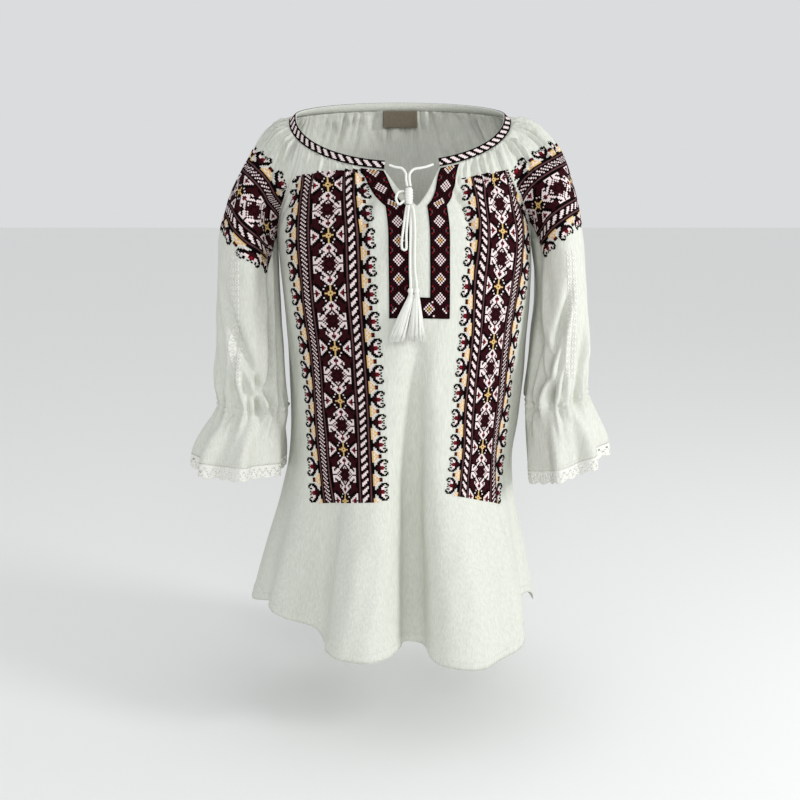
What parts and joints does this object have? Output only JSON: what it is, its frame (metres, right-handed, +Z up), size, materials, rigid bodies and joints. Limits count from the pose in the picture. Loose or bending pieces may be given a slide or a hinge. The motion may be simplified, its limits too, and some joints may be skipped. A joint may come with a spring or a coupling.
{
  "type": "gathered folk blouse",
  "caption": "Gathered folk blouse with raglan sleeves, shirred flounced cuffs, lace edges, a narrow neckband, a slit front and a tasselled tie, worn hollow",
  "frame": {"origin": "midway between the shoulders, level with the sides of the neckband, where the wearer carries the blouse", "axes": "+Z up, the wearer faces -Y, +X is the wearer's left"},
  "size_m": [0.5011, 0.337, 0.6379],
  "materials": {
    "ivory_gauze": "matte crinkled cotton",
    "band_thread": "matte cotton thread",
    "placket_thread": "matte cotton thread",
    "white_cotton": "soft cotton cord and lace",
    "label_tape": "woven tape"
  },
  "bodies": {
    "root": {"front_panel": "ivory_gauze", "back_panel": "ivory_gauze", "sleeve_right": "ivory_gauze", "sleeve_left": "ivory_gauze", "neckband": "band_thread", "placket_band": "placket_thread", "lace_right": "white_cotton", "lace_left": "white_cotton", "neck_label": "label_tape", "tie_right": "white_cotton", "tie_left": "white_cotton", "bow_loop_short": "white_cotton", "bow_loop_long": "white_cotton", "tail_right": "white_cotton", "tail_left": "white_cotton", "bow_knot": "white_cotton", "tassel_right": "white_cotton", "tassel_left": "white_cotton"}
  },
  "joints": []
}
